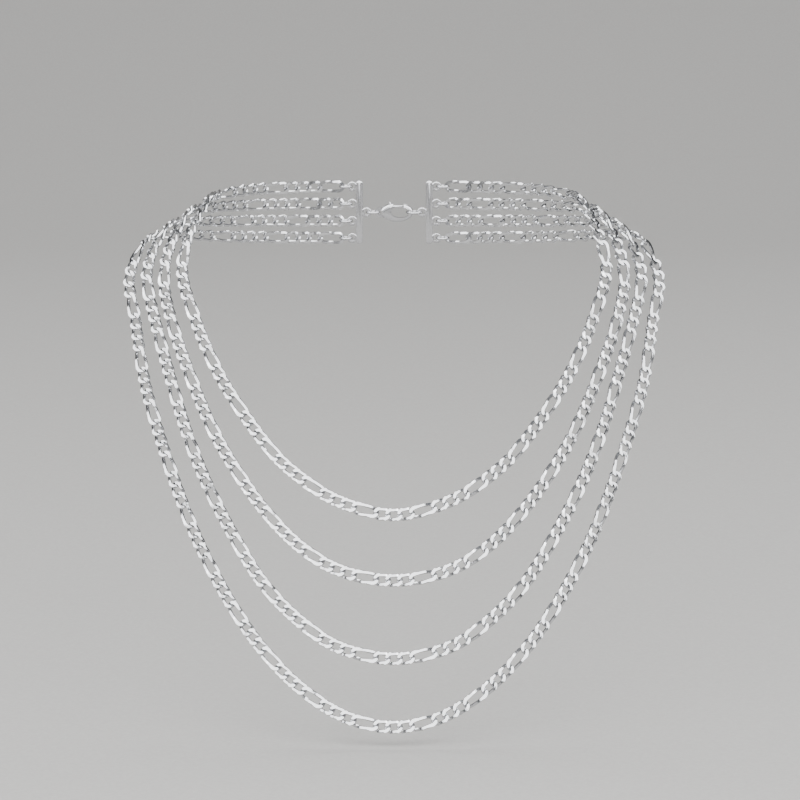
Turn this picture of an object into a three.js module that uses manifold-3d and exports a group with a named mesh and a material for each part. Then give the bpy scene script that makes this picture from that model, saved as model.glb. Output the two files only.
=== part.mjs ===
// A layered necklace: four figaro chains of growing length, gathered at the nape on two end bars
// that one lobster clasp joins. It has the shape that it takes when it is worn.
//
// Millimetres. +X is towards the viewer's right, -Y is forward, +Z is up. The origin is the middle
// of the clasp, where the necklace lies on the nape of the neck.
import * as THREE from "three";
import { mergeVertices } from "three/addons/utils/BufferGeometryUtils.js";
import Module from "manifold-3d";

const wasm = await Module();
wasm.setup();

// ---- Driving dimensions -------------------------------------------------------------------------

// Wearer, as a multiple of the display bust that the routes are drawn on
const wearerAcross = 1;
const wearerDown = 1;

// Chain: three short links and one long link, over and over
const chainWidth = 4.0;
const chainThickness = 1.9;
const linkWire = 0.95;
const shortPitch = 3.6;
const longPitch = 6.9;
const linksInPattern = 4;
const endTwist = THREE.MathUtils.degToRad(-45);
const loopLeg = 0.75;
const legOverlap = 0.3;
const ribbonStep = 5;

// Clearances
const wireClearance = 0.2;
const holeClearance = 0.2;
const rivetClearance = 0.1;
const leverClearance = 0.15;
const strandGap = 0.5;
const eyeGap = 1.5;

// Pieces that one strand is divided into
const piecesPerSide = 4;
const frontPieceReach = 30;
const pieceNames = ["chest", "collar", "shoulder", "nape"];

// Jump rings
const ringWire = 0.8;
const strandRingRadius = 1.8;
const claspRingRadius = 1.9;
const catchRingRadius = 2.3;

// End bars
const eyeHoleRadius = 0.8;
const eyeWall = 0.8;
const barWidth = 2.2;
const barThickness = 1.0;
const barEnd = 1.9;

// Lobster clasp
const claspOffset = 0.8;
const claspLength = 10.4;
const claspHeight = 6.2;
const claspThickness = 1.8;
const claspRim = 1.2;
const throatLength = 5.8;
const throatHeight = 3.5;
const mouthSetback = 0.6;
const mouthLength = 3.4;
const mouthSill = 0.2;
const slotOverrun = 0.9;
const slotFloor = 0.3;
const pivotSetback = 0.9;
const pivotDepth = 1.55;
const rivetRadius = 0.4;

// Lever: a round boss on the rivet, a blade across the mouth and a thumb tab, drawn about the rivet
const leverThickness = 0.7;
const leverBossRadius = 0.95;
const leverBladeHeight = 0.9;
const leverBladeRise = 0.05;
const leverTabHeight = 2.1;
const leverTabFoot = 0.5;
const leverTabFront = [0.2, 1.9];
const leverTabBack = -0.6;
const leverHeel = [-0.76, 0.4];

// Coil spring
const springWire = 0.15;
const springCoilRadius = 0.32;
const springLength = 1.5;
const springTurns = 4;
const stepsPerTurn = 8;

// Chest that slopes forward and bulges in the middle
const chestFront = -30 * wearerAcross;
const chestSlope = Math.tan(THREE.MathUtils.degToRad(22));
const chestBulge = 18 * wearerAcross;
const chestHalfWidth = 72 * wearerAcross;

// The strands lie side by side round the +X side of the neck. Each place here is the middle of the
// four, with the body's outward direction there, and the step from each strand to the next in strand
// spacings. The last place is on the chest, so it has no y of its own.
const neckPlaces = [
  { middle: [30, -2.2, 0.2], step: [0, 0, -1.185], outward: [0.3, 0.95, 0.05] },
  { middle: [47.5, -8, 0.7], step: [0.37, 0, -1.11], outward: [0.6, 0.75, 0.3] },
  { middle: [62.5, -17, 1.2], step: [1.037, 0, -0.92], outward: [0.75, 0.3, 0.6] },
  { middle: [68, -28.75, 0.6], step: [1.333, 0.185, -0.83], outward: [0.6, -0.15, 0.78] },
];
const shoulderPlace = { middle: [73.85, -13.75], step: [1.237, -0.407] };

// Each strand's own way from the shoulder over the chest to the middle: x, z
const chestRoutes = [
  [[61, -27.5], [52.5, -44.5], [40, -61], [31, -69.5], [17.5, -77.5], [0, -81.5]],
  [[69, -27], [62, -45], [53.5, -62], [41.5, -78.5], [29, -90.5], [16, -97.5], [0, -100]],
  [
    [74.2, -27], [68.5, -45.5], [62.5, -62.5], [54.3, -79.5], [41, -100], [29, -111.5], [16.5, -119],
    [0, -122],
  ],
  [
    [80.2, -28], [77, -46], [71.5, -63], [63.5, -83], [56, -97.5], [46.5, -112], [36, -124], [24, -133.5],
    [12, -139.2], [0, -141],
  ],
];

// ---- Sizes that follow ----------------------------------------------------------------------------

const strandCount = chestRoutes.length;
const strandSpacing = chainWidth + strandGap;
const loopRadius = (chainWidth - linkWire) / 2;
const jointWire = linkWire - wireClearance;
const pieceInset = loopRadius + loopLeg - linkWire / 2;

const eyePitch = chainWidth + eyeGap;
const eyeRadius = eyeHoleRadius + eyeWall;
const barHalf = (eyePitch * (strandCount - 1)) / 2;

const claspTipX = claspOffset + claspLength / 2;
const throatEndX = claspTipX - claspRim;
const throatCentreX = throatEndX - throatLength / 2;
const mouthX = throatCentreX - throatLength / 2 + mouthSetback;
const pivotX = mouthX - pivotSetback;
const pivotZ = claspHeight / 2 - pivotDepth;

const catchRingX = throatEndX - ringWire + catchRingRadius;
const innerEyeWireX = catchRingX + catchRingRadius;
const wireOffset = eyeHoleRadius - ringWire / 2 - holeClearance;
const innerEyeX = innerEyeWireX + wireOffset;
const tailWireX = 2 * claspRingRadius - innerEyeWireX;
const tailEyeX = tailWireX + wireOffset;
const barX = innerEyeX + eyeHoleRadius + eyeWall / 2 + barWidth / 2;
const outerEyeX = barX + barWidth / 2 + eyeHoleRadius + eyeWall / 2;
const strandRingX = outerEyeX + wireOffset;
const firstContact = 2 * strandRingRadius - ringWire / 2 - wireClearance / 2;

// ---- Materials --------------------------------------------------------------------------------------

const polishedChain = new THREE.MeshStandardMaterial({ color: "#d3d4d6", roughness: 0.16, metalness: 1 });
const polishedFitting = new THREE.MeshStandardMaterial({ color: "#cdced1", roughness: 0.2, metalness: 1 });
const springSteel = new THREE.MeshStandardMaterial({ color: "#a9abae", roughness: 0.35, metalness: 1 });

// ---- Solids -------------------------------------------------------------------------------------------

function toSolid(geometry) {
  const bare = geometry.clone();
  bare.deleteAttribute("normal");
  bare.deleteAttribute("uv");
  const merged = mergeVertices(bare, 1e-4);
  const index = merged.index.array;
  return new wasm.Manifold(
    new wasm.Mesh({
      numProp: 3,
      vertProperties: merged.attributes.position.array,
      triVerts: new Uint32Array(index),
    }),
  );
}

function toGeometry(solid) {
  const mesh = solid.getMesh();
  const geometry = new THREE.BufferGeometry();
  geometry.setAttribute("position", new THREE.BufferAttribute(mesh.vertProperties, 3));
  geometry.setIndex(new THREE.BufferAttribute(mesh.triVerts, 1));
  geometry.computeVertexNormals();
  return geometry;
}

function join(...geometries) {
  const solids = geometries.map(toSolid);
  return toGeometry(solids.reduce((whole, next) => whole.add(next)));
}

function cut(geometry, ...tools) {
  const solids = tools.map(toSolid);
  return toGeometry(solids.reduce((rest, tool) => rest.subtract(tool), toSolid(geometry)));
}

// Moves every vertex of a geometry to where place() puts it
function reshape(geometry, place) {
  const position = geometry.attributes.position;
  const vertex = new THREE.Vector3();
  for (let i = 0; i < position.count; i++) {
    vertex.fromBufferAttribute(position, i);
    place(vertex);
    position.setXYZ(i, vertex.x, vertex.y, vertex.z);
  }
  return geometry;
}

// ---- Routes -------------------------------------------------------------------------------------------

function chestPoint(x, z) {
  const fromMiddle = x / chestHalfWidth;
  const y = chestFront + chestSlope * z - chestBulge * (1 - fromMiddle * fromMiddle);
  const normal = new THREE.Vector3((2 * chestBulge * fromMiddle) / chestHalfWidth, -1, chestSlope);
  return { point: new THREE.Vector3(x, y, z), normal: normal.normalize() };
}

// A smooth curve through the knots. The ends are mirrored, so that it leaves the bar along X and
// crosses the middle along X.
function throughKnots(knots, samplesPerSpan = 16) {
  const before = { ...knots[1], point: knots[1].point.clone() };
  before.point.x = 2 * knots[0].point.x - knots[1].point.x;
  const nearMiddle = knots[knots.length - 2];
  const after = {
    point: nearMiddle.point.clone().setX(-nearMiddle.point.x),
    normal: nearMiddle.normal.clone().setX(-nearMiddle.normal.x),
  };
  const all = [before, ...knots, after];
  const samples = [];
  const blend = (key, i, t) => {
    const [a, b, c, d] = [0, 1, 2, 3].map((k) => all[i + k][key]);
    const v = new THREE.Vector3();
    for (const axis of ["x", "y", "z"]) {
      const linear = c[axis] - a[axis];
      const square = 2 * a[axis] - 5 * b[axis] + 4 * c[axis] - d[axis];
      const cube = -a[axis] + 3 * b[axis] - 3 * c[axis] + d[axis];
      v[axis] = (2 * b[axis] + linear * t + square * t * t + cube * t * t * t) / 2;
    }
    return v;
  };
  for (let i = 0; i < knots.length - 1; i++) {
    for (let k = 0; k < samplesPerSpan; k++) {
      const t = k / samplesPerSpan;
      samples.push({ point: blend("point", i, t), normal: blend("normal", i, t) });
    }
  }
  samples.push(knots[knots.length - 1]);
  return samples.reverse();
}

// A strand's knots on its +X side: its eye, round the neck, and over the chest to the middle
function strandKnots(index) {
  const fromMiddle = index - (strandCount - 1) / 2;
  const place = (middle, step, scales) => {
    return middle.map((v, axis) => v * scales[axis] + step[axis] * fromMiddle * strandSpacing);
  };
  const height = -eyePitch * fromMiddle;
  const knots = [{ point: new THREE.Vector3(strandRingX, 0, height), normal: new THREE.Vector3(0, 1, 0) }];
  for (const { middle, step, outward } of neckPlaces) {
    const point = new THREE.Vector3(...place(middle, step, [wearerAcross, wearerAcross, wearerDown]));
    knots.push({ point, normal: new THREE.Vector3(...outward).normalize() });
  }
  knots.push(chestPoint(...place(shoulderPlace.middle, shoulderPlace.step, [wearerAcross, wearerDown])));
  for (const [x, z] of chestRoutes[index]) knots.push(chestPoint(x * wearerAcross, z * wearerDown));
  return knots;
}

// A strand's route, measured by distance from its front middle: negative on the -X side
class Route {
  constructor(index) {
    this.samples = throughKnots(strandKnots(index));
    this.distances = [0];
    for (let i = 1; i < this.samples.length; i++) {
      const step = this.samples[i].point.distanceTo(this.samples[i - 1].point);
      this.distances.push(this.distances[i - 1] + step);
    }
    this.halfLength = this.distances[this.distances.length - 1];
    this.height = this.samples[this.samples.length - 1].point.z;
  }

  frame(distance) {
    const along = Math.abs(distance);
    let i = this.distances.findIndex((d) => d > along);
    if (i < 1) i = this.distances.length - 1;
    const share = (along - this.distances[i - 1]) / (this.distances[i] - this.distances[i - 1]);
    const origin = this.samples[i - 1].point.clone().lerp(this.samples[i].point, share);
    const normal = this.samples[i - 1].normal.clone().lerp(this.samples[i].normal, share);
    const before = this.samples[Math.max(i - 2, 0)].point;
    const after = this.samples[Math.min(i + 1, this.samples.length - 1)].point;
    const tangent = after.clone().sub(before).normalize();
    if (distance < 0) {
      origin.x = -origin.x;
      normal.x = -normal.x;
      tangent.set(tangent.x, -tangent.y, -tangent.z);
    }
    const across = normal.cross(tangent).normalize();
    const outward = tangent.clone().cross(across);
    return new THREE.Matrix4().makeBasis(tangent, across, outward).setPosition(origin);
  }

  // Distances from the middle of the places where one link pulls on the next. A short link lies
  // across the middle, so both sides match.
  contacts() {
    const available = this.halfLength - firstContact;
    const stations = [shortPitch / 2];
    const pitchAt = (i) => (i % linksInPattern === 2 ? longPitch : shortPitch);
    let last = stations[0];
    while (last + pitchAt(stations.length) / 2 < available) {
      last += pitchAt(stations.length);
      stations.push(last);
    }
    return stations.map((s) => (s * available) / last);
  }
}

// ---- Chain pieces ------------------------------------------------------------------------------------

// The end of a link: two legs and the round end, twisted so that it crosses the next link's end
function linkEnd() {
  const legLength = loopLeg + legOverlap;
  const turn = Math.PI * loopRadius;
  const length = 2 * legLength + turn;
  const halfLink = (shortPitch + linkWire) / 2;
  const wire = new THREE.CylinderGeometry(jointWire / 2, jointWire / 2, length, 5, 8);
  return reshape(wire, (v) => {
    const along = v.y + length / 2;
    const angle = THREE.MathUtils.clamp((along - legLength) / loopRadius, 0, Math.PI) - Math.PI / 2;
    const onLeg = Math.max(legLength - along, along - legLength - turn, 0);
    const reach = loopRadius + v.x;
    const x = loopLeg - onLeg + reach * Math.cos(angle);
    const across = reach * Math.sin(angle);
    const lift = v.z;
    const twist = (endTwist * Math.max(x, 0)) / halfLink;
    v.x = x;
    v.y = across * Math.cos(twist) - lift * Math.sin(twist);
    v.z = across * Math.sin(twist) + lift * Math.cos(twist);
  });
}

// A run of links as one body: a ribbon along the route with a link's end at each end
function chainPiece(route, from, to) {
  const start = from + pieceInset;
  const end = to - pieceInset;
  const steps = Math.round((end - start) / ribbonStep);
  const ribbon = new THREE.BoxGeometry(end - start, chainWidth, chainThickness, steps, 1, 1);
  reshape(ribbon, (v) => {
    const frame = route.frame((start + end) / 2 + v.x);
    v.setX(0).applyMatrix4(frame);
  });
  const lastEnd = linkEnd().applyMatrix4(route.frame(end));
  const halfTurn = new THREE.Matrix4().makeRotationZ(Math.PI);
  const firstEnd = linkEnd().applyMatrix4(route.frame(start).multiply(halfTurn));
  return join(ribbon, lastEnd, firstEnd);
}

// ---- Fittings ------------------------------------------------------------------------------------------

function ringGeometry(radius) {
  return new THREE.TorusGeometry(radius, ringWire / 2, 6, 14);
}

function ovalShape(x, z, halfLength, halfHeight, points) {
  const corners = Array.from({ length: points }, (_, i) => {
    const angle = (2 * Math.PI * i) / points;
    return new THREE.Vector2(x + halfLength * Math.cos(angle), z + halfHeight * Math.sin(angle));
  });
  return new THREE.Shape(corners);
}

// A flat plate in the XZ plane, with its thickness along Y
function plate(shape, thickness) {
  const geometry = new THREE.ExtrudeGeometry(shape, { depth: thickness, bevelEnabled: false });
  return geometry.translate(0, 0, -thickness / 2).rotateX(Math.PI / 2);
}

function disc(x, z, radius, thickness) {
  return plate(ovalShape(x, z, radius, radius, 14), thickness);
}

// An end bar: a flat plate with one eye towards the clasp and an eye for each strand
function endBar() {
  const eyes = [[innerEyeX - barX, 0]];
  for (let i = 0; i < strandCount; i++) eyes.push([outerEyeX - barX, barHalf - eyePitch * i]);
  const post = new THREE.BoxGeometry(barWidth, barThickness, 2 * (barHalf + barEnd));
  const body = join(post, ...eyes.map(([x, z]) => disc(x, z, eyeRadius, barThickness)));
  return cut(body, ...eyes.map(([x, z]) => disc(x, z, eyeHoleRadius, 2 * barThickness)));
}

function rivetHole(x, z, depth) {
  const radius = rivetRadius + rivetClearance;
  return new THREE.CylinderGeometry(radius, radius, depth, 10).translate(x, 0, z);
}

// The clasp's body: a hook whose mouth is on its upper side, a slot for the lever, and a tail eye
function claspBody() {
  const through = 2 * claspThickness;
  const hook = plate(ovalShape(claspOffset, 0, claspLength / 2, claspHeight / 2, 28), claspThickness);
  const throat = plate(ovalShape(throatCentreX, 0, throatLength / 2, throatHeight / 2, 20), through);
  const mouth = new THREE.BoxGeometry(mouthLength, through, claspHeight);
  mouth.translate(mouthX + mouthLength / 2, 0, claspHeight / 2 + mouthSill);
  const slotLength = 2 * leverBossRadius + 2 * leverClearance + springLength + slotOverrun;
  const slotBottom = pivotZ - leverBossRadius - slotFloor;
  const slot = new THREE.BoxGeometry(slotLength, leverThickness + 2 * leverClearance, claspHeight);
  slot.translate(mouthX + slotOverrun - slotLength / 2, 0, slotBottom + claspHeight / 2);
  const body = join(hook, disc(tailEyeX, 0, eyeRadius, barThickness));
  const eyeHole = disc(tailEyeX, 0, eyeHoleRadius, through);
  return cut(body, throat, eyeHole, mouth, slot, rivetHole(pivotX, pivotZ, through));
}

// The lever that closes the mouth, drawn about its rivet
function claspLever() {
  const tip = mouthX + mouthLength - pivotX - leverClearance;
  const blade = new THREE.Shape();
  blade.moveTo(0, -leverBladeHeight / 2);
  blade.lineTo(tip, leverBladeRise);
  blade.lineTo(tip, leverBladeRise + leverBladeHeight);
  blade.lineTo(leverTabFoot, leverBladeHeight);
  blade.lineTo(...leverTabFront);
  blade.lineTo(leverTabBack, leverTabHeight);
  blade.lineTo(...leverHeel);
  const body = join(plate(blade, leverThickness), disc(0, 0, leverBossRadius, leverThickness));
  return cut(body, rivetHole(0, 0, 2 * leverThickness));
}

function claspRivet() {
  return new THREE.CylinderGeometry(rivetRadius, rivetRadius, claspThickness, 10);
}

// The small coil behind the lever's boss, which pushes the lever shut
function claspSpring() {
  class Coil extends THREE.Curve {
    getPoint(t, target = new THREE.Vector3()) {
      const angle = 2 * Math.PI * springTurns * t;
      return target.set(
        springLength * (t - 0.5),
        springCoilRadius * Math.cos(angle),
        springCoilRadius * Math.sin(angle),
      );
    }
  }
  const corners = Array.from({ length: 4 }, (_, i) => {
    const angle = (Math.PI / 2) * i;
    return new THREE.Vector2((springWire / 2) * Math.cos(angle), (springWire / 2) * Math.sin(angle));
  });
  const options = { steps: springTurns * stepsPerTurn, extrudePath: new Coil(), bevelEnabled: false };
  return new THREE.ExtrudeGeometry(new THREE.Shape(corners), options);
}

// ---- Assembly ----------------------------------------------------------------------------------------

const necklace = new THREE.Group();

function add(name, geometry, material, place = [0, 0, 0]) {
  const mesh = new THREE.Mesh(geometry, material);
  mesh.name = name;
  mesh.position.set(...place);
  necklace.add(mesh);
  return mesh;
}

function addStrand(index) {
  const route = new Route(index);
  const label = `strand_${index + 1}`;
  const contacts = route.contacts();
  const last = contacts.length - 1;
  const front = contacts.findIndex((c) => c > frontPieceReach - shortPitch / 2);
  const breaks = Array.from({ length: piecesPerSide + 1 }, (_, k) => {
    return contacts[Math.round(front + ((last - front) * k) / piecesPerSide)];
  });
  add(`${label}_front`, chainPiece(route, -breaks[0], breaks[0]), polishedChain);
  for (let k = 0; k < piecesPerSide; k++) {
    const name = `${label}_${pieceNames[k]}`;
    add(`${name}_left`, chainPiece(route, -breaks[k + 1], -breaks[k]), polishedChain);
    add(`${name}_right`, chainPiece(route, breaks[k], breaks[k + 1]), polishedChain);
  }
  const ringX = strandRingX + strandRingRadius;
  add(`${label}_ring_left`, ringGeometry(strandRingRadius), polishedFitting, [-ringX, 0, route.height]);
  add(`${label}_ring_right`, ringGeometry(strandRingRadius), polishedFitting, [ringX, 0, route.height]);
}

for (let index = 0; index < strandCount; index++) addStrand(index);

add("end_bar_right", endBar(), polishedFitting, [barX, 0, 0]);
add("end_bar_left", endBar().rotateZ(Math.PI), polishedFitting, [-barX, 0, 0]);
add("clasp_body", claspBody(), polishedFitting);
add("clasp_lever", claspLever(), polishedFitting, [pivotX, 0, pivotZ]);
add("clasp_rivet", claspRivet(), polishedFitting, [pivotX, 0, pivotZ]);
const springX = pivotX - leverBossRadius - leverClearance - springLength / 2;
add("clasp_spring", claspSpring(), springSteel, [springX, 0, pivotZ]);
add("clasp_ring", ringGeometry(claspRingRadius), polishedFitting, [tailWireX - claspRingRadius, 0, 0]);
add("catch_ring", ringGeometry(catchRingRadius), polishedFitting, [catchRingX, 0, 0]);

export default necklace;
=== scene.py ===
# %% [markdown]
# # A layered figaro necklace
# Four figaro chains, three short links and then one long link, hang from two end bars that a
# lobster clasp joins behind the neck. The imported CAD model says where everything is. In it each
# chain is a few plain ribbons. Here every link is made, one after the other, on the same route.

# %% Load the frame and note its box
import math
import random

import bmesh
import bpy
from mathutils import Matrix, Vector


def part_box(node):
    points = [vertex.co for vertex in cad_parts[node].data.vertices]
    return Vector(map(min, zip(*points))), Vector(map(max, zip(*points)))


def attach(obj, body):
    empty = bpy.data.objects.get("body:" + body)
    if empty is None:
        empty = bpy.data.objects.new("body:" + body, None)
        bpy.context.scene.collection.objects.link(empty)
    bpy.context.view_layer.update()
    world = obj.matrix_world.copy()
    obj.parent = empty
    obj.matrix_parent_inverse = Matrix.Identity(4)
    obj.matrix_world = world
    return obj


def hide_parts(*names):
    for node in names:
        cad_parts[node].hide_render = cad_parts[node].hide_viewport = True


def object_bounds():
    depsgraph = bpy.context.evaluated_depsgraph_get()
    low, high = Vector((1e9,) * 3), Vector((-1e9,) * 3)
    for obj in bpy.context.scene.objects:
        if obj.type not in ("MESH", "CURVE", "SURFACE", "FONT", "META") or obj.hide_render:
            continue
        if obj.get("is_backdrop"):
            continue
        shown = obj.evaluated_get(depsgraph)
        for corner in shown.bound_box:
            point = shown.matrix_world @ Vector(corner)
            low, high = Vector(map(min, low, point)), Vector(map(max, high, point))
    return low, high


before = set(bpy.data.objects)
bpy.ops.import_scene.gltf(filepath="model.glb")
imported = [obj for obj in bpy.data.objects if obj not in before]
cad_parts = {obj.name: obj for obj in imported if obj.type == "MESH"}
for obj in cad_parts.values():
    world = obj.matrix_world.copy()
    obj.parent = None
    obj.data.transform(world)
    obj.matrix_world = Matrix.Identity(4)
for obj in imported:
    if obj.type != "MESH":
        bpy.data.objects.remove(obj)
CAD_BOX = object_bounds()
MM = 0.001
MICRON = MM / 1000
print("CAD box, mm:", [[round(v / MM, 1) for v in corner] for corner in CAD_BOX])

# %% [markdown]
# ## Camera
# The necklace is seen from the front and a little from above, through a long lens, as jewellery is
# shown. It stands far enough away for the strands to keep their true proportions.

# %% Camera
VIEW_DISTANCE = 1.2
VIEW_ELEVATION = math.radians(10)
VIEW_WIDTH = 0.2439
SENSOR_WIDTH = 36
VIEW_CENTRE = Vector((0.0018, -0.060, -0.050))

camera_data = bpy.data.cameras.new("camera")
camera_data.sensor_width = SENSOR_WIDTH
camera_data.lens = SENSOR_WIDTH * VIEW_DISTANCE / VIEW_WIDTH
camera_data.clip_end = 20
camera = bpy.data.objects.new("camera", camera_data)
bpy.context.scene.collection.objects.link(camera)
back = Vector((0, -math.cos(VIEW_ELEVATION), math.sin(VIEW_ELEVATION)))
camera.location = VIEW_CENTRE + back * VIEW_DISTANCE
camera.rotation_euler = (math.radians(90) - VIEW_ELEVATION, 0, 0)
bpy.context.scene.camera = camera
print("lens, mm:", round(camera_data.lens, 1))

# %% [markdown]
# ## Small helpers
# Every step below starts a mesh, selects part of it by place and finishes it with its place in the
# mesh. These functions do that, so that each step shows only its own shape.


# %% Helpers for meshes
def deselect():
    if bpy.context.mode != "OBJECT":
        bpy.ops.object.mode_set(mode="OBJECT")
    bpy.ops.object.select_all(action="DESELECT")


def take(piece):
    """Makes piece the only selected object and the active one."""
    deselect()
    piece.select_set(True)
    bpy.context.view_layer.objects.active = piece


def fresh(name):
    """The primitive that was just added, named and with its place moved into its mesh."""
    piece = bpy.context.object
    piece.name = name
    piece.data.name = name
    bpy.ops.object.transform_apply(location=True, rotation=True, scale=True)
    return piece


def select_faces(piece, test):
    """Goes to edit mode with the faces selected whose middle passes test."""
    take(piece)
    bpy.ops.object.mode_set(mode="EDIT")
    bpy.ops.mesh.select_mode(type="FACE")
    mesh = bmesh.from_edit_mesh(piece.data)
    for face in mesh.faces:
        face.select_set(bool(test(face.calc_center_median())))
    mesh.select_flush_mode()
    bmesh.update_edit_mesh(piece.data)


def select_vertices(piece, test):
    """Goes to edit mode with the vertices selected that pass test."""
    take(piece)
    bpy.ops.object.mode_set(mode="EDIT")
    bpy.ops.mesh.select_mode(type="VERT")
    mesh = bmesh.from_edit_mesh(piece.data)
    for vertex in mesh.verts:
        vertex.select_set(bool(test(vertex.co)))
    mesh.select_flush_mode()
    bmesh.update_edit_mesh(piece.data)


def apply_modifier(piece, kind, **settings):
    """Adds a modifier, sets it and turns its result into the mesh."""
    take(piece)
    modifier = piece.modifiers.new(kind.lower(), kind)
    for key, value in settings.items():
        setattr(modifier, key, value)
    bpy.ops.object.modifier_apply(modifier=modifier.name)


def recalculate(piece):
    """Merges doubles and turns all faces outwards."""
    take(piece)
    bpy.ops.object.mode_set(mode="EDIT")
    bpy.ops.mesh.select_all(action="SELECT")
    bpy.ops.mesh.remove_doubles(threshold=MICRON)
    bpy.ops.mesh.normals_make_consistent(inside=False)
    bpy.ops.object.mode_set(mode="OBJECT")


def smooth(piece, degrees=50):
    """Shades a piece round, except over edges sharper than the given angle."""
    take(piece)
    bpy.ops.object.shade_smooth_by_angle(angle=math.radians(degrees))


def copy_of(piece, matrix):
    """A copy with its own mesh, placed by a matrix."""
    other = piece.copy()
    other.data = piece.data.copy()
    bpy.context.scene.collection.objects.link(other)
    other.data.transform(matrix)
    return other


def join(pieces, name):
    """Makes one named piece of several."""
    deselect()
    for piece in pieces:
        piece.select_set(True)
    bpy.context.view_layer.objects.active = pieces[0]
    if len(pieces) > 1:
        bpy.ops.object.join()
    pieces[0].name = name
    pieces[0].data.name = name
    return pieces[0]


# %% [markdown]
# ## Helpers for materials
# Colours are written as on a swatch and turned into light. A node is added with its settings and
# its inputs in one call, so that a material reads from top to bottom, from pattern to shader.


# %% Helpers for materials
def colour(hex_value):
    """An sRGB hex colour as linear red, green, blue and alpha."""
    parts = [int(hex_value[i : i + 2], 16) / 255 for i in (1, 3, 5)]
    linear = [p / 12.92 if p <= 0.04045 else ((p + 0.055) / 1.055) ** 2.4 for p in parts]
    return (*linear, 1)


def node(tree, kind, inputs=None, **settings):
    """Adds a node. An input is a value, or an output socket to link to it."""
    made = tree.nodes.new(kind)
    for key, value in settings.items():
        setattr(made, key, value)
    for key, value in (inputs or {}).items():
        if isinstance(value, bpy.types.NodeSocket):
            tree.links.new(value, made.inputs[key])
        else:
            made.inputs[key].default_value = value
    return made


def new_material(name):
    material = bpy.data.materials.new(name)
    material.use_nodes = True
    material.node_tree.nodes.clear()
    return material, material.node_tree


def set_ramp(ramp, stops):
    """Gives a colour ramp its stops: (place, hex colour) each."""
    elements = ramp.color_ramp.elements
    while len(elements) < len(stops):
        elements.new(0.5)
    for element, (place, hex_value) in zip(elements, stops):
        element.position = place
        element.color = colour(hex_value)


# %% [markdown]
# ## Polished stainless steel, for the chain
# Figaro chain of this kind is steel or silver wire, linked, twisted, filed flat on both faces and
# then tumbled until it shines. It is almost a mirror, so most of what one sees is its surroundings.
# What keeps it from looking like chrome is the wear: fine scratches on the outside of each link,
# a duller finish where the polish cannot reach between the links, and a very slightly uneven face.
# The links carry an attribute, 0 on open faces and 1 deep inside a crossing. It makes the metal
# rougher there, which is that wear. It also turns the colour dark grey, which is painted shade:
# the shadow between two links, drawn into the colour. Scratches are about 0.05 mm wide on the real
# thing and are drawn at 0.15 mm to show.
# They are stretched along Z, the way that the strands hang at the sides. The noise starts four
# times coarser than a scratch, because its finer layers are a half and a quarter as wide.

# %% Polished stainless steel
SCRATCH_WIDTH = 0.15 * MM
SCRATCH_STRETCH = 0.22
UNEVENNESS = 1.2 * MM
UNEVEN_TONE = 0.25
RECESS_ROUGHNESS = 0.18


def polished_steel():
    material, tree = new_material("polished_stainless_steel")
    where = node(tree, "ShaderNodeTexCoord").outputs["Object"]
    recess_wear_and_shade = node(tree, "ShaderNodeAttribute", attribute_name="recess_wear_and_shade").outputs["Fac"]
    scratched = {"Vector": where, "Scale": (1, 1, SCRATCH_STRETCH)}
    along = node(tree, "ShaderNodeMapping", scratched).outputs[0]
    scale = 1 / (4 * SCRATCH_WIDTH)
    scratches = node(
        tree,
        "ShaderNodeTexNoise",
        {"Vector": along, "Scale": scale, "Detail": 3, "Roughness": 0.6},
    ).outputs["Fac"]
    patches = node(
        tree, "ShaderNodeTexNoise", {"Vector": where, "Scale": 1 / UNEVENNESS, "Detail": 2}
    ).outputs["Fac"]
    # Random tone plus the crossing value. The ramp's last, dark stop is painted shade where one
    # link lies in the next; the extra roughness there is real wear.
    tone_and_shade = node(tree, "ShaderNodeMath", {0: patches, 1: UNEVEN_TONE}, operation="MULTIPLY_ADD")
    tree.links.new(recess_wear_and_shade, tone_and_shade.inputs[2])
    ramp = node(tree, "ShaderNodeValToRGB", {"Fac": tone_and_shade.outputs[0]})
    set_ramp(ramp, [(0.08, "#C8C9CB"), (0.5, "#B2B3B6"), (1.0, "#55565A")])
    rough = node(
        tree,
        "ShaderNodeMapRange",
        {"Value": scratches, "From Min": 0.35, "From Max": 0.75, "To Min": 0.09, "To Max": 0.24},
    ).outputs["Result"]
    in_recess = {0: recess_wear_and_shade, 1: RECESS_ROUGHNESS, 2: rough}
    rougher = node(tree, "ShaderNodeMath", in_recess, operation="MULTIPLY_ADD")
    bump = node(
        tree, "ShaderNodeBump", {"Height": scratches, "Strength": 0.12, "Distance": 0.02 * MM}
    ).outputs["Normal"]
    shader = node(
        tree,
        "ShaderNodeBsdfPrincipled",
        {
            "Base Color": ramp.outputs["Color"],
            "Metallic": 1.0,
            "Roughness": rougher.outputs[0],
            "Normal": bump,
        },
    )
    node(tree, "ShaderNodeOutputMaterial", {"Surface": shader.outputs["BSDF"]})
    return material


# %% [markdown]
# ## Cast and plated brass, for the fittings
# Clasps, end bars and rings are cast or stamped brass, plated with a thin bright layer. Casting
# leaves a very slight orange-peel in the plating, about half a millimetre across, and the fittings
# are a little softer in their shine than the filed chain. The cut of a jump ring shows as a line.


# %% Plated brass
PEEL_SIZE = 0.5 * MM
TUMBLE_MARK = 0.2 * MM


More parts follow.
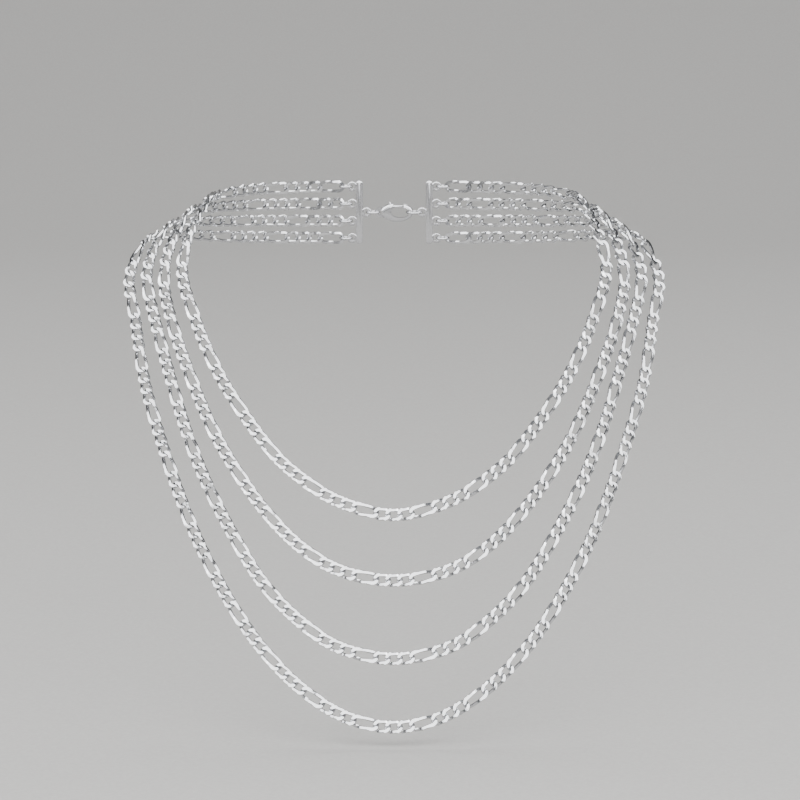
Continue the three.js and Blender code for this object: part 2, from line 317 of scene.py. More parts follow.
def plated_brass():
    material, tree = new_material("rhodium_plated_brass")
    where = node(tree, "ShaderNodeTexCoord").outputs["Object"]
    peel = node(
        tree, "ShaderNodeTexNoise", {"Vector": where, "Scale": 1 / PEEL_SIZE, "Detail": 1}
    ).outputs["Fac"]
    marks = node(
        tree,
        "ShaderNodeTexNoise",
        {
            "Vector": where,
            "Scale": 1 / TUMBLE_MARK,
            "Detail": 4,
            "Roughness": 0.7,
            "Distortion": 0.6,
        },
    ).outputs["Fac"]
    ramp = node(tree, "ShaderNodeValToRGB", {"Fac": peel})
    set_ramp(ramp, [(0.3, "#BDBEC1"), (0.7, "#C8C8CA")])
    rough = node(
        tree,
        "ShaderNodeMapRange",
        {"Value": marks, "From Min": 0.3, "From Max": 0.75, "To Min": 0.13, "To Max": 0.28},
    ).outputs["Result"]
    bump = node(
        tree, "ShaderNodeBump", {"Height": peel, "Strength": 0.2, "Distance": 0.03 * MM}
    ).outputs["Normal"]
    shader = node(
        tree,
        "ShaderNodeBsdfPrincipled",
        {"Base Color": ramp.outputs["Color"], "Metallic": 1.0, "Roughness": rough, "Normal": bump},
    )
    node(tree, "ShaderNodeOutputMaterial", {"Surface": shader.outputs["BSDF"]})
    return material


# %% [markdown]
# ## Drawn spring steel, for the clasp's coil
# Spring wire is pulled through a die and left as it comes: darker than the polished parts, with
# fine lines along the wire and a dull, even sheen.


# %% Drawn spring steel
DRAW_LINE = 0.05 * MM
LINE_STRETCH = 0.15


def spring_steel():
    material, tree = new_material("drawn_spring_steel")
    where = node(tree, "ShaderNodeTexCoord").outputs["Object"]
    drawn = {"Vector": where, "Scale": (1, LINE_STRETCH, LINE_STRETCH)}
    along = node(tree, "ShaderNodeMapping", drawn).outputs[0]
    lines = node(
        tree, "ShaderNodeTexNoise", {"Vector": along, "Scale": 1 / DRAW_LINE, "Detail": 2}
    ).outputs["Fac"]
    ramp = node(tree, "ShaderNodeValToRGB", {"Fac": lines})
    set_ramp(ramp, [(0.3, "#8C8E92"), (0.7, "#B4B6BA")])
    rough = node(
        tree, "ShaderNodeMapRange", {"Value": lines, "To Min": 0.28, "To Max": 0.45}
    ).outputs["Result"]
    shader = node(
        tree,
        "ShaderNodeBsdfPrincipled",
        {"Base Color": ramp.outputs["Color"], "Metallic": 1.0, "Roughness": rough},
    )
    node(tree, "ShaderNodeOutputMaterial", {"Surface": shader.outputs["BSDF"]})
    return material


CHAIN_STEEL = polished_steel()
FITTING_BRASS = plated_brass()
SPRING_STEEL = spring_steel()

# %% [markdown]
# ## One short link and one long link
# A link is a ring of wire that is pulled oval and then twisted a quarter turn from end to end, so
# that the chain lies flat. Last, both faces of the chain are filed, and the flats that this leaves
# are what shines. The same steps work here: a torus of six-sided wire with wide flats, its two
# halves moved apart, a twist along its length, and one cut straight across each face. The long
# link is cut along its rails first, so that they have something to twist. A link is repeated
# hundreds of times, so it keeps to about a hundred faces. Edges sharper than FACET_ANGLE stay
# crisp, as a file leaves them, and the rest are shaded round.

# %% Links
CHAIN_WIDTH = 4.0 * MM
WIRE = 0.95 * MM
SHORT_PITCH = 3.6 * MM
LONG_PITCH = 6.9 * MM
LINK_TWIST = math.radians(-90)
FILED_HALF = 0.74 * MM
ROUND_SIDES = 14
WIRE_SIDES = 6
SIX_SIDED_SWELL = 1.1
FLAT_WIDER = 0.08 * MM
FACET_ANGLE = 28
RECESS_REACH = 1.1 * WIRE
RAIL_CUTS = (-1.5 * MM, 0, 1.5 * MM)
BEND_RADIUS = (CHAIN_WIDTH - WIRE) / 2


def cut(piece, place, direction, **how):
    """Cuts a mesh with a plane, through the point place and square to direction.

    Bisect leaves corners that are within 0.1 mm of its plane where they are, unless its threshold
    is set. So a filed face is level only to that: the short link's highest corners stand 0.055 mm
    proud, and it is 1.59 mm thick where the long one is 1.48 mm.
    """
    take(piece)
    bpy.ops.object.mode_set(mode="EDIT")
    bpy.ops.mesh.select_all(action="SELECT")
    bpy.ops.mesh.bisect(plane_co=place, plane_no=direction, **how)
    bpy.ops.object.mode_set(mode="OBJECT")


def widen_flats(link):
    """Widens the flats on the wire's upper and lower side, by moving their corners apart."""
    for side in (1, -1):
        select_vertices(
            link, lambda co: abs(co.z) > WIRE / 4 and (co.xy.length - BEND_RADIUS) * side > 0
        )
        wider = 1 + side * FLAT_WIDER / BEND_RADIUS
        bpy.ops.transform.resize(value=(wider, wider, 1), center_override=(0, 0, 0))
        bpy.ops.object.mode_set(mode="OBJECT")


def make_link(name, pitch, rail_cuts):
    bpy.ops.mesh.primitive_torus_add(
        major_segments=ROUND_SIDES,
        minor_segments=WIRE_SIDES,
        major_radius=BEND_RADIUS,
        minor_radius=WIRE / 2 * SIX_SIDED_SWELL,
    )
    link = fresh(name)
    widen_flats(link)
    half_rail = (pitch + WIRE) / 2 - BEND_RADIUS
    for side in (1, -1):
        select_vertices(link, lambda co: co.x * side > 0)
        bpy.ops.transform.translate(value=(side * half_rail, 0, 0))
        bpy.ops.object.mode_set(mode="OBJECT")
    for place in rail_cuts:
        cut(link, (place, 0, 0), (1, 0, 0))
    apply_modifier(link, "SIMPLE_DEFORM", deform_method="TWIST", deform_axis="X", angle=LINK_TWIST)
    for side in (1, -1):
        cut(link, (0, 0, side * FILED_HALF), (0, 0, side), clear_outer=True, use_fill=True)
    recalculate(link)
    smooth(link, FACET_ANGLE)
    paint_recess_wear_and_shade(link, pitch)
    size = [round(d / MM, 2) for d in link.dimensions]
    print(name, "faces:", len(link.data.polygons), "size, mm:", size)
    return link


def paint_recess_wear_and_shade(link, pitch):
    """1 where the next link's wire lies against this one, 0 on the open faces and rails.
    The steel makes these places rougher, and paints them dark grey as painted shade.
    """
    attribute = link.data.attributes.new("recess_wear_and_shade", "FLOAT", "POINT")
    for vertex in link.data.vertices:
        inner_end = Vector((math.copysign(pitch / 2, vertex.co.x), 0, 0))
        near = 1 - min(1, (vertex.co - inner_end).length / RECESS_REACH)
        attribute.data[vertex.index].value = near


short_link = make_link("short_link", SHORT_PITCH, ())
long_link = make_link("long_link", LONG_PITCH, RAIL_CUTS)

# %% [markdown]
# ## The way each strand lies
# The strands lie side by side round the neck and then part over the chest. The CAD model was drawn
# on a route for each strand, and the links need the same one, so its points are repeated here, in
# millimetres. One side is drawn and the other is its mirror image. Between the points the route is
# a smooth curve, and each point also has the body's outward direction, which the links lie flat on.

# %% Route points
STRAND_RING_X = 13.6
EYE_PITCH = 5.5
STRAND_SPACING = 4.5
CHEST_FRONT = -30
CHEST_SLOPE = math.tan(math.radians(22))
CHEST_BULGE = 18
CHEST_HALF_WIDTH = 72
NECK_PLACES = [
    {"middle": (30, -2.2, 0.2), "step": (0, 0, -1.185), "outward": (0.3, 0.95, 0.05)},
    {"middle": (47.5, -8, 0.7), "step": (0.37, 0, -1.11), "outward": (0.6, 0.75, 0.3)},
    {"middle": (62.5, -17, 1.2), "step": (1.037, 0, -0.92), "outward": (0.75, 0.3, 0.6)},
    {"middle": (68, -28.75, 0.6), "step": (1.333, 0.185, -0.83), "outward": (0.6, -0.15, 0.78)},
]
SHOULDER_PLACE = {"middle": (73.85, -13.75), "step": (1.237, -0.407)}
CHEST_ROUTES = [
    [(61, -27.5), (52.5, -44.5), (40, -61), (31, -69.5), (17.5, -77.5), (0, -81.5)],
    [(69, -27), (62, -45), (53.5, -62), (41.5, -78.5), (29, -90.5), (16, -97.5), (0, -100)],
    [(74.2, -27), (68.5, -45.5), (62.5, -62.5), (54.3, -79.5), (41, -100)]
    + [(29, -111.5), (16.5, -119), (0, -122)],
    [(80.2, -28), (77, -46), (71.5, -63), (63.5, -83), (56, -97.5), (46.5, -112)]
    + [(36, -124), (24, -133.5), (12, -139.2), (0, -141)],
]
STRANDS = len(CHEST_ROUTES)


def chest_knot(x, z):
    share = x / CHEST_HALF_WIDTH
    y = CHEST_FRONT + CHEST_SLOPE * z - CHEST_BULGE * (1 - share * share)
    outward = Vector((2 * CHEST_BULGE * share / CHEST_HALF_WIDTH, -1, CHEST_SLOPE))
    return Vector((x, y, z)) * MM, outward.normalized()


def strand_knots(index):
    """Points and outward directions from the strand's eye to the front middle, on the +X side."""
    lane = (index - (STRANDS - 1) / 2) * STRAND_SPACING
    height = -EYE_PITCH * (index - (STRANDS - 1) / 2)
    knots = [(Vector((STRAND_RING_X, 0, height)) * MM, Vector((0, 1, 0)))]
    for place in NECK_PLACES:
        point = Vector(place["middle"]) + Vector(place["step"]) * lane
        knots.append((point * MM, Vector(place["outward"]).normalized()))
    shoulder = Vector(SHOULDER_PLACE["middle"]) + Vector(SHOULDER_PLACE["step"]) * lane
    knots.append(chest_knot(*shoulder))
    return knots + [chest_knot(x, z) for x, z in CHEST_ROUTES[index]]


# %% [markdown]
# ## Smooth route through the points
# A chain has no corners on a body, so a curve is drawn through the points that leaves each one in
# the direction from the point before it to the point after it. It is sampled finely, and a place
# on it is then found by its distance from the front middle, as one would measure it along a tape.

# %% Smooth route through the points
SAMPLES_PER_SPAN = 16


def curve_value(a, b, c, d, t):
    """A point between b and c on the smooth curve through a, b, c and d."""
    linear = c - a
    square = 2 * a - 5 * b + 4 * c - d
    cube = -a + 3 * b - 3 * c + d
    return (2 * b + linear * t + square * t**2 + cube * t**3) / 2


def mirrored(vector):
    return Vector((-vector.x, vector.y, vector.z))


def through_knots(knots):
    """Samples of point and outward direction, from the front middle to the eye."""
    first, second = knots[0], knots[1]
    before = (second[0] + Vector((2 * (first[0].x - second[0].x), 0, 0)), second[1])
    after = (mirrored(knots[-2][0]), mirrored(knots[-2][1]))
    line = [before, *knots, after]
    samples = []
    for i in range(len(knots) - 1):
        for k in range(SAMPLES_PER_SPAN):
            t = k / SAMPLES_PER_SPAN
            near = line[i : i + 4]
            samples.append([curve_value(*(knot[part] for knot in near), t) for part in (0, 1)])
    samples.append(list(knots[-1]))
    return samples[::-1]


class Route:
    """A strand's way, measured by distance from its front middle: negative on the -X side."""

    def __init__(self, index):
        self.samples = through_knots(strand_knots(index))
        self.distances = [0]
        for (a, _), (b, _) in zip(self.samples, self.samples[1:]):
            self.distances.append(self.distances[-1] + (b - a).length)
        self.half_length = self.distances[-1]

    def place(self, distance):
        """The point and the outward direction at a distance."""
        along = min(abs(distance), self.half_length)
        i = next((i for i, d in enumerate(self.distances) if d > along), len(self.distances) - 1)
        share = (along - self.distances[i - 1]) / (self.distances[i] - self.distances[i - 1])
        point, outward = (self.samples[i - 1][k].lerp(self.samples[i][k], share) for k in (0, 1))
        return (point, outward) if distance >= 0 else (mirrored(point), mirrored(outward))


# %% [markdown]
# ## Where one link pulls on the next
# A short link lies across the front middle, and from there the pattern of three short links and a
# long one runs to both ends. The places where links meet are worked out from the two pitches, and
# then shared out, so that the last link just reaches its jump ring.

# %% Meeting places
LINKS_IN_PATTERN = 4
LONG_LINK_TURN = 2
RING_WIRE = 0.8 * MM
STRAND_RING_RADIUS = 1.8 * MM
WIRE_CLEARANCE = 0.2 * MM
RING_REACH = 2 * STRAND_RING_RADIUS - RING_WIRE / 2 - WIRE_CLEARANCE / 2
FRONT_REACH = 30 * MM
RUNS_PER_SIDE = ["chest", "collar", "shoulder", "nape"]


def meeting_places(route):
    available = route.half_length - RING_REACH
    places = [SHORT_PITCH / 2]
    while True:
        pitch = LONG_PITCH if len(places) % LINKS_IN_PATTERN == LONG_LINK_TURN else SHORT_PITCH
        if places[-1] + pitch / 2 >= available:
            break
        places.append(places[-1] + pitch)
    return [place * available / places[-1] for place in places]


def runs(places):
    """Each run's name, side, and the meeting places along it, as the CAD model divides a strand."""
    front = next(i for i, place in enumerate(places) if place > FRONT_REACH - SHORT_PITCH / 2)
    last = len(places) - 1
    count = len(RUNS_PER_SIDE)
    breaks = [int(front + (last - front) * k / count + 0.5) for k in range(count + 1)]
    middle = places[: breaks[0] + 1]
    yield "front", [-place for place in middle[::-1]] + middle
    for name, a, b in zip(RUNS_PER_SIDE, breaks, breaks[1:]):
        side = places[a : b + 1]
        yield f"{name}_right", side
        yield f"{name}_left", [-place for place in side[::-1]]


# %% [markdown]
# ## The strands, link by link
# Each link lies straight between its two meeting places, flat on the body, and no two lie quite
# alike: a chain that has been put on by hand has its links rolled by a degree or two, and that is
# what makes it glitter unevenly. The links of one run move together, so they become one piece.

# %% Lay the links
ROLL = math.radians(1.8)
dice = random.Random(11)


def lay_link(route, a, b):
    start, _ = route.place(a)
    end, _ = route.place(b)
    _, outward = route.place((a + b) / 2)
    along = (end - start).normalized()
    across = outward.cross(along).normalized()
    outward = along.cross(across)
    turn = Matrix((along, across, outward)).transposed().to_4x4()
    roll = Matrix.Rotation(dice.gauss(0, ROLL), 4, "X")
    is_long = b - a > (SHORT_PITCH + LONG_PITCH) / 2
    link = long_link if is_long else short_link
    return copy_of(link, Matrix.Translation((start + end) / 2) @ turn @ roll)


link_count = 0
for strand in range(STRANDS):
    route = Route(strand)
    places = meeting_places(route)
    for run, stops in runs(places):
        links = [lay_link(route, a, b) for a, b in zip(stops, stops[1:])]
        link_count += len(links)
        cad_node = f"strand_{strand + 1}_{run}"
        piece = join(links, f"{cad_node}_links")
        piece.data.materials.clear()
        piece.data.materials.append(CHAIN_STEEL)
        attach(piece, cad_node)
        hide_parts(cad_node)
    half = route.half_length / MM
    print(f"strand {strand + 1}: half length {half:.1f} mm, {2 * len(places) - 1} links")
print("links:", link_count)

deselect()
for pattern in (short_link, long_link):
    bpy.data.objects.remove(pattern, do_unlink=True)

# %% [markdown]
# ## Jump rings
# A jump ring is one turn of wire, sawn from a coil, so it has a fine cut across it. Spinning a
# round section almost all the way round gives the wire, its two ends and the cut between them. The
# rings lie level, because they pass through eyes that face backwards.

# %% Jump rings
RING_SIDES = 12
RING_STEPS = 40
RING_CUT = 0.07 * MM
RING_CUT_EDGE = 0.03 * MM
CUT_PLACE = math.radians(70)


def make_ring(name, radius):
    bpy.ops.mesh.primitive_circle_add(
        vertices=RING_SIDES,
        radius=RING_WIRE / 2,
        fill_type="NGON",
        location=(radius, 0, 0),
        rotation=(math.radians(90), 0, 0),
    )
    ring = fresh(name)
    bpy.ops.object.mode_set(mode="EDIT")
    bpy.ops.mesh.select_all(action="SELECT")
    turn = 2 * math.pi - RING_CUT / radius
    bpy.ops.mesh.spin(steps=RING_STEPS, angle=turn, center=(0, 0, 0), axis=(0, 0, 1))
    bpy.ops.object.mode_set(mode="OBJECT")
    recalculate(ring)
    apply_modifier(ring, "BEVEL", width=RING_CUT_EDGE, segments=1, limit_method="ANGLE")
    smooth(ring)
    return ring


def middle_of(cad_node):
    """The middle of a CAD node's box."""
    low, high = (Vector(corner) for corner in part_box(cad_node))
    return (low + high) / 2


def put(piece, cad_node, turn):
    """Turns a mesh about Z and moves it to the middle of its CAD node's box."""
    piece.data.transform(Matrix.Translation(middle_of(cad_node)) @ Matrix.Rotation(turn, 4, "Z"))


def finish(piece, body, cad_node, material):
    """Gives a piece its material, and lets it ride on a body in a CAD node's stead."""
    piece.data.materials.clear()
    piece.data.materials.append(material)
    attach(piece, body)
    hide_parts(cad_node)
    print(piece.name, "faces:", len(piece.data.polygons))


CLASP_RING_RADIUS = 1.9 * MM
CATCH_RING_RADIUS = 2.3 * MM

for strand in range(1, STRANDS + 1):
    for side in ("left", "right"):
        cad_node = f"strand_{strand}_ring_{side}"
        ring = make_ring(f"jump_ring_{strand}_{side}", STRAND_RING_RADIUS)
        turn = CUT_PLACE if side == "right" else math.pi - CUT_PLACE
        put(ring, cad_node, turn)
        finish(ring, f"strand_{strand}_nape_{side}", cad_node, FITTING_BRASS)
for cad_node, radius in (("clasp_ring", CLASP_RING_RADIUS), ("catch_ring", CATCH_RING_RADIUS)):
    ring = make_ring(f"{cad_node}_wire", radius)
    put(ring, cad_node, CUT_PLACE)
    finish(ring, "clasp", cad_node, FITTING_BRASS)

# %% [markdown]
# ## Helpers for the cast fittings
# The bars and the clasp start as discs, ovals and blocks. Each is softened while it is simple, then
# they are welded and cut, and the new edges are softened a little, as tumbling does. Each is drawn
# standing up, with its thickness along Y.

# %% Helpers for cast fittings
def block(name, low, high):
    """A box between two opposite corners."""
    low, high = Vector(low), Vector(high)
    bpy.ops.mesh.primitive_cube_add(size=1, location=(low + high) / 2, scale=high - low)
    return fresh(name)


def oval(name, x, z, half_length, half_height, thickness, sides=40):
    """A standing oval disc about a place in X and Z."""
    bpy.ops.mesh.primitive_cylinder_add(
        vertices=sides,
        radius=1,
        depth=thickness,
        location=(x, 0, z),
        rotation=(math.radians(90), 0, 0),
        scale=(half_length, half_height, 1),
    )
    return fresh(name)


def combine(piece, tool, operation):
    """Welds a tool to a piece, or cuts it out, and takes the tool away."""
    apply_modifier(piece, "BOOLEAN", object=tool, operation=operation, solver="EXACT")
    bpy.data.objects.remove(tool, do_unlink=True)


def soften(piece, width, segments=3, degrees=35):
    """Rounds every edge sharper than the given angle."""
    apply_modifier(
        piece,
        "BEVEL",
        width=width,
        segments=segments,
        limit_method="ANGLE",
        angle_limit=math.radians(degrees),
        use_clamp_overlap=True,
    )
    recalculate(piece)
    smooth(piece)


def raise_face(piece, thickness, inset, rise):
    """Makes both flat faces of a piece slightly domed."""
    for side in (1, -1):
        select_faces(piece, lambda middle: middle.y * side > thickness / 2 - MICRON)
        bpy.ops.mesh.inset(thickness=inset)
        bpy.ops.transform.translate(value=(0, side * rise, 0))
        bpy.ops.object.mode_set(mode="OBJECT")


# %% [markdown]
# ## End bars
# Each bar gathers four strands and hands them to the clasp. It is a small cast bar with round ends,
# four eyes on its outer side and one on its inner side. Its edges are rounded and its faces domed
# while it is still plain, because the many short edges round the eyes would stop a wide bevel
# later. The bars are drawn about their own middle, and the left one is turned half round.

# %% End bars
EYE_HOLE = 0.8 * MM
HOLE_SIDES = 28
EYE_RADIUS = 1.6 * MM
BAR_WIDTH = 2.2 * MM
BAR_THICKNESS = 1.0 * MM
BAR_END = 1.9 * MM
BAR_CORNER = 0.45 * BAR_WIDTH
BAR_HALF = EYE_PITCH * MM * (STRANDS - 1) / 2
EYE_FROM_BAR = 2.3 * MM
TUMBLED_EDGE = 0.3 * MM
EYE_ROUNDING = 0.25 * MM
CUT_EDGE = 0.08 * MM
FACE_RISE = 0.1 * MM
BAR_FACE_INSET = 0.35 * MM


def make_bar(name):
    top = BAR_HALF + BAR_END
    thick = BAR_THICKNESS - 2 * FACE_RISE
    bar = block(name, (-BAR_WIDTH / 2, -thick / 2, -top), (BAR_WIDTH / 2, thick / 2, top))
    take(bar)
    bpy.ops.object.mode_set(mode="EDIT")
    bpy.ops.mesh.select_mode(type="EDGE")
    mesh = bmesh.from_edit_mesh(bar.data)
    for edge in mesh.edges:
        a, b = (vertex.co for vertex in edge.verts)
        edge.select_set(abs(a.y - b.y) > thick / 2)
    bmesh.update_edit_mesh(bar.data)
    bpy.ops.mesh.bevel(offset=BAR_CORNER, segments=6)
    bpy.ops.object.mode_set(mode="OBJECT")
    soften(bar, TUMBLED_EDGE, segments=4)
    raise_face(bar, thick, BAR_FACE_INSET, FACE_RISE)
    eyes = [(-EYE_FROM_BAR, 0)]
    eyes += [(EYE_FROM_BAR, BAR_HALF - EYE_PITCH * MM * i) for i in range(STRANDS)]
    for x, z in eyes:
        eye = oval("eye", x, z, EYE_RADIUS, EYE_RADIUS, thick)
        soften(eye, EYE_ROUNDING)
        combine(bar, eye, "UNION")
    for x, z in eyes:
        hole = oval("hole", x, z, EYE_HOLE, EYE_HOLE, 2 * BAR_THICKNESS, HOLE_SIDES)
        combine(bar, hole, "DIFFERENCE")
    soften(bar, CUT_EDGE, segments=2, degrees=50)
    return bar


for side, turn in (("right", 0), ("left", math.pi)):
    cad_node = f"end_bar_{side}"
    bar = make_bar(f"{cad_node}_cast")
    put(bar, cad_node, turn)
    finish(bar, cad_node, cad_node, FITTING_BRASS)

# %% [markdown]
# ## Lobster clasp
# The clasp is a flat hook, crowned on both faces, with a slot across its back for the lever and its
# spring, and an eye at its tail for the ring on the left bar. It is an oval whose rims are rounded
# first, because a crown is easiest to make while the outline is still simple. The throat, mouth,
# slot and rivet hole are cut afterwards.

# %% Clasp body
CLASP_OFFSET = 0.8 * MM
CLASP_LENGTH = 10.4 * MM
CLASP_HEIGHT = 6.2 * MM
CLASP_THICKNESS = 1.8 * MM
CLASP_SIDES = 64
CLASP_RIM = 1.2 * MM
CROWN = 0.7 * MM
CLASP_FACE_INSET = 0.6 * MM
THROAT_LENGTH = 5.8 * MM
THROAT_HEIGHT = 3.5 * MM
MOUTH_SETBACK = 0.6 * MM
MOUTH_LENGTH = 3.4 * MM
MOUTH_SILL = 0.2 * MM
TAIL_EYE_X = -4.6 * MM
LEVER_THICKNESS = 0.7 * MM
LEVER_CLEARANCE = 0.15 * MM
LEVER_BOSS = 0.95 * MM
RIVET_RADIUS = 0.4 * MM
RIVET_SIDES = 24
RIVET_CLEARANCE = 0.1 * MM
SPRING_LENGTH = 1.5 * MM
SLOT_OVERRUN = 0.9 * MM
SLOT_FLOOR = 0.3 * MM

pivot = middle_of("clasp_rivet")
throat_x = CLASP_OFFSET + CLASP_LENGTH / 2 - CLASP_RIM - THROAT_LENGTH / 2
mouth_x = throat_x - THROAT_LENGTH / 2 + MOUTH_SETBACK
through = CLASP_THICKNESS * 1.5  # half the depth of a tool that cuts right through

clasp_thick = CLASP_THICKNESS - 2 * FACE_RISE
clasp = oval(
    "clasp_body_cast", CLASP_OFFSET, 0, CLASP_LENGTH / 2, CLASP_HEIGHT / 2, clasp_thick, CLASP_SIDES
)
soften(clasp, CROWN, segments=5, degrees=60)
raise_face(clasp, clasp_thick, CLASP_FACE_INSET, FACE_RISE)
combine(clasp, oval("eye", TAIL_EYE_X, 0, EYE_RADIUS, EYE_RADIUS, BAR_THICKNESS), "UNION")
throat = oval("throat", throat_x, 0, THROAT_LENGTH / 2, THROAT_HEIGHT / 2, 2 * through)
combine(clasp, throat, "DIFFERENCE")
tail_hole = oval("tail_hole", TAIL_EYE_X, 0, EYE_HOLE, EYE_HOLE, 2 * through, HOLE_SIDES)
combine(clasp, tail_hole, "DIFFERENCE")
mouth_end = (mouth_x + MOUTH_LENGTH, through, CLASP_HEIGHT)
mouth = block("mouth", (mouth_x, -through, MOUTH_SILL), mouth_end)
combine(clasp, mouth, "DIFFERENCE")
slot_half = LEVER_THICKNESS / 2 + LEVER_CLEARANCE
slot_end = mouth_x - 2 * LEVER_BOSS - 2 * LEVER_CLEARANCE - SPRING_LENGTH
slot_floor = pivot.z - LEVER_BOSS - SLOT_FLOOR
slot_top = (mouth_x + SLOT_OVERRUN, slot_half, CLASP_HEIGHT)
slot = block("slot", (slot_end, -slot_half, slot_floor), slot_top)
combine(clasp, slot, "DIFFERENCE")
hole_radius = RIVET_RADIUS + RIVET_CLEARANCE
hole = oval("hole", pivot.x, pivot.z, hole_radius, hole_radius, 2 * through, RIVET_SIDES)
combine(clasp, hole, "DIFFERENCE")
soften(clasp, CUT_EDGE, segments=2, degrees=50)
finish(clasp, "clasp", "clasp_body", FITTING_BRASS)

# %% [markdown]
# ## Lever and rivet
# The lever is a round boss on the rivet, a blade that closes the mouth, and a tab for the thumb.
# The blade is a block whose upper face near the boss is extruded into the tab. Blade and boss are
# rounded apart and then welded, and the blade is a touch thinner, so that no two faces coincide.
# The rivet is a pin whose two ends are hammered into low domes.

# %% Lever and rivet
BLADE_HEIGHT = 0.9 * MM
TAB_HEIGHT = 1.1 * MM
TAB_LEAN = 0.45 * MM
TAB_FOOT = 0.5 * MM
BLADE_THINNER = 0.03 * MM
LEVER_EDGE = 0.12 * MM
BOSS_SIDES = 28

tip_x = mouth_x + MOUTH_LENGTH - LEVER_CLEARANCE
blade_half = LEVER_THICKNESS / 2 - BLADE_THINNER
low = (pivot.x, -blade_half, pivot.z - BLADE_HEIGHT / 4)
high = (tip_x, blade_half, pivot.z + BLADE_HEIGHT * 3 / 4)
lever = block("clasp_lever_blade", low, high)
cut(lever, (pivot.x + TAB_FOOT, 0, 0), (1, 0, 0))
select_faces(lever, lambda m: m.z > pivot.z + BLADE_HEIGHT / 2 and m.x < pivot.x + TAB_FOOT)
bpy.ops.mesh.extrude_region_move(TRANSFORM_OT_translate={"value": (-TAB_LEAN, 0, TAB_HEIGHT)})
bpy.ops.object.mode_set(mode="OBJECT")
soften(lever, LEVER_EDGE, degrees=30)
boss = oval("boss", pivot.x, pivot.z, LEVER_BOSS, LEVER_BOSS, LEVER_THICKNESS, BOSS_SIDES)
soften(boss, LEVER_EDGE)
combine(lever, boss, "UNION")
hole = oval("hole", pivot.x, pivot.z, hole_radius, hole_radius, CLASP_THICKNESS, RIVET_SIDES)
combine(lever, hole, "DIFFERENCE")
recalculate(lever)
smooth(lever)
finish(lever, "lever", "clasp_lever", FITTING_BRASS)

DOME = 0.08 * MM
DOME_INSET = 0.4 * RIVET_RADIUS
rivet = oval(
    "clasp_rivet_pin", pivot.x, pivot.z, RIVET_RADIUS, RIVET_RADIUS, CLASP_THICKNESS, RIVET_SIDES
)
raise_face(rivet, CLASP_THICKNESS, DOME_INSET, DOME)
smooth(rivet, 60)
finish(rivet, "clasp", "clasp_rivet", FITTING_BRASS)

# %% [markdown]
# ## Coil spring
# The little coil lies in the slot behind the boss. A round section that turns about X while it
# moves along it gives the coil, which the Screw modifier does, and its two open ends are filled.

# %% Coil spring
SPRING_WIRE = 0.15 * MM
SPRING_RADIUS = 0.32 * MM
SPRING_TURNS = 4
SPRING_SIDES = 8
SPRING_STEPS = 20

bpy.ops.mesh.primitive_circle_add(
    vertices=SPRING_SIDES, radius=SPRING_WIRE / 2, location=(0, SPRING_RADIUS, 0)
)
spring = fresh("clasp_spring_coil")
apply_modifier(
    spring,
    "SCREW",
    axis="X",
    angle=math.radians(360),
    screw_offset=(SPRING_LENGTH - SPRING_WIRE) / SPRING_TURNS,
    iterations=SPRING_TURNS,
    steps=SPRING_STEPS,
    render_steps=SPRING_STEPS,
)
take(spring)
bpy.ops.object.mode_set(mode="EDIT")
bpy.ops.mesh.select_all(action="SELECT")
bpy.ops.mesh.fill_holes(sides=0)
bpy.ops.object.mode_set(mode="OBJECT")
recalculate(spring)
smooth(spring)
coil_middle = Vector(((SPRING_LENGTH - SPRING_WIRE) / 2, 0, 0))
spring.data.transform(Matrix.Translation(middle_of("clasp_spring") - coil_middle))
finish(spring, "clasp", "clasp_spring", SPRING_STEEL)

# %% [markdown]
# ## Floor and backdrop
# A sheet of plain paper runs under the necklace and curves up behind it, so that there is no line
# between floor and wall. The necklace is held up by its wearer, so the floor is just below it.
# The paper is a light grey that the lights make pale. White paper would outshine the metal.

# %% Floor and backdrop
FLOOR_DROP = 0.004
FIBRE_SIZE = MM / 0.9
PAPER_HALF = 3.0
PAPER_BACK = 2.2
PAPER_BEND = 1.2


def matte_paper():
    material, tree = new_material("matte_paper")
    where = node(tree, "ShaderNodeTexCoord").outputs["Object"]
    fibres = node(
        tree, "ShaderNodeTexNoise", {"Vector": where, "Scale": 1 / FIBRE_SIZE, "Detail": 2}
    ).outputs["Fac"]
    ramp = node(tree, "ShaderNodeValToRGB", {"Fac": fibres})
    set_ramp(ramp, [(0.3, "#979694"), (0.7, "#9D9C9A")])
    shader = node(
        tree, "ShaderNodeBsdfPrincipled", {"Base Color": ramp.outputs["Color"], "Roughness": 0.9}
    )
    node(tree, "ShaderNodeOutputMaterial", {"Surface": shader.outputs["BSDF"]})
    return material


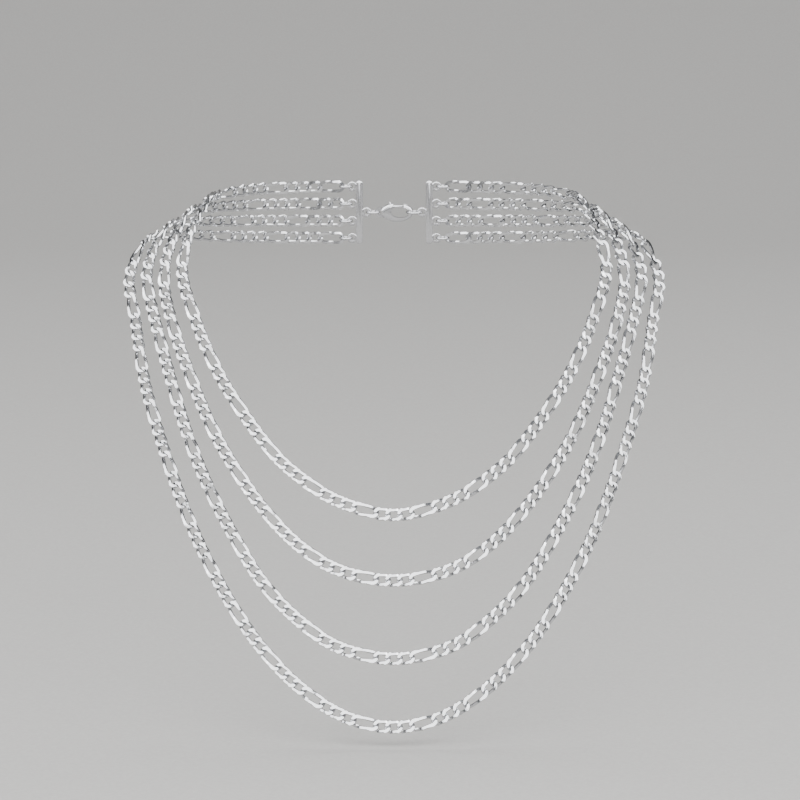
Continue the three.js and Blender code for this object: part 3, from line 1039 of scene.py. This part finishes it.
floor_z = CAD_BOX[0][2] - FLOOR_DROP
paper_middle = (0, PAPER_BACK - PAPER_HALF, floor_z)
bpy.ops.mesh.primitive_plane_add(size=2 * PAPER_HALF, location=paper_middle)
paper = fresh("paper")
select_vertices(paper, lambda co: co.y > 0)
bpy.ops.mesh.select_mode(type="EDGE")
bpy.ops.mesh.extrude_region_move(TRANSFORM_OT_translate={"value": (0, 0, PAPER_HALF)})
bpy.ops.object.mode_set(mode="OBJECT")
select_vertices(paper, lambda co: co.y > 0 and co.z < floor_z + MM)
bpy.ops.mesh.select_mode(type="EDGE")
bpy.ops.mesh.bevel(offset=PAPER_BEND, segments=24)
bpy.ops.object.mode_set(mode="OBJECT")
smooth(paper, 60)
paper.data.materials.append(matte_paper())
paper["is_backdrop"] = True

# %% [markdown]
# ## Light
# Polished metal shows whatever is around it. A wide soft light above and in front makes the filed
# faces of the links white, and one at each side does the same for the links that lie round the
# sides of the neck. A light from behind draws their upper edges. The dim grey room between the
# lights leaves the dark lines that part one link from the next. Near the horizon the room is pale,
# because the paper ends there in views from behind.


# %% Light
def soft_light(name, location, width, height, watts):
    data = bpy.data.lights.new(name, "AREA")
    data.shape = "RECTANGLE"
    data.size = width
    data.size_y = height
    data.energy = watts
    light = bpy.data.objects.new(name, data)
    bpy.context.scene.collection.objects.link(light)
    light.location = location
    light.rotation_euler = (Vector(location) - VIEW_CENTRE).to_track_quat("Z", "Y").to_euler()


soft_light("key", (0, -1.05, 0.75), width=2.6, height=1.4, watts=62)
soft_light("left_side", (-1.3, -0.45, 0.6), width=0.9, height=1.2, watts=18)
soft_light("right_side", (1.3, -0.45, 0.6), width=0.9, height=1.2, watts=18)
soft_light("back_light", (0, 1.0, 1.5), width=1.8, height=0.7, watts=26)

world = bpy.data.worlds.new("room")
world.use_nodes = True
room = world.node_tree
room.nodes.clear()
direction = node(room, "ShaderNodeTexCoord").outputs["Generated"]
height = node(room, "ShaderNodeSeparateXYZ", {"Vector": direction}).outputs["Z"]
sky = node(room, "ShaderNodeValToRGB", {"Fac": height})
set_ramp(sky, [(0.0, "#B9B9B9"), (0.14, "#55565A"), (0.4, "#4A4B4D"), (1.0, "#A0A1A4")])
light = node(room, "ShaderNodeBackground", {"Color": sky.outputs["Color"], "Strength": 1.0})
node(room, "ShaderNodeOutputWorld", {"Surface": light.outputs["Background"]})
bpy.context.scene.world = world

# %% [markdown]
# ## Last measure
# The finished pieces must fill the same box as the CAD model, so both boxes are written down.

# %% Boxes and finish
sizes = {
    "cad": [list(corner) for corner in CAD_BOX],
    "visual": [list(corner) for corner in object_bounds()],
}
for axis, name in enumerate("XYZ"):
    cad, seen = (sizes[key][1][axis] - sizes[key][0][axis] for key in ("cad", "visual"))
    print(f"{name}: CAD {cad / MM:.1f} mm, finished {seen / MM:.1f} mm")
